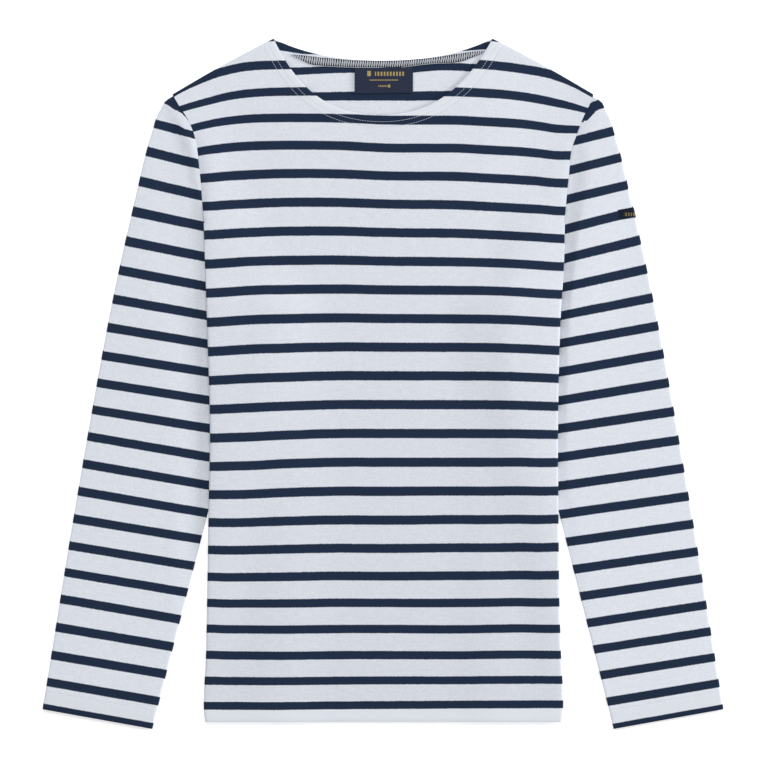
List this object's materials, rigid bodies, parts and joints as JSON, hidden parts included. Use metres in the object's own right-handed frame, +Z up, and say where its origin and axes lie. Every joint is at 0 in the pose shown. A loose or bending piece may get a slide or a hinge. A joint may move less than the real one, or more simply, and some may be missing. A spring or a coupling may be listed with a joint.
{
  "type": "breton shirt",
  "caption": "Long-sleeved striped jersey shirt with a wide boat neck, lying flat with its sides folded under and its sleeves down beside the body.",
  "frame": {"origin": "on the surface it lies on, under the middle of its outline", "axes": "+X to the wearer's left, +Y from hem to neck, +Z up from the surface through the front"},
  "size_m": [0.681, 0.689, 0.0079],
  "materials": {
    "striped_jersey": "matt cotton jersey, cool white with navy stripes",
    "woven_label": "matt woven tape, navy"
  },
  "bodies": {
    "root": {"front": "striped_jersey", "back": "striped_jersey", "sleeve_right": "striped_jersey", "sleeve_left": "striped_jersey", "neck_label": "woven_label", "sleeve_tab": "woven_label"}
  },
  "joints": []
}
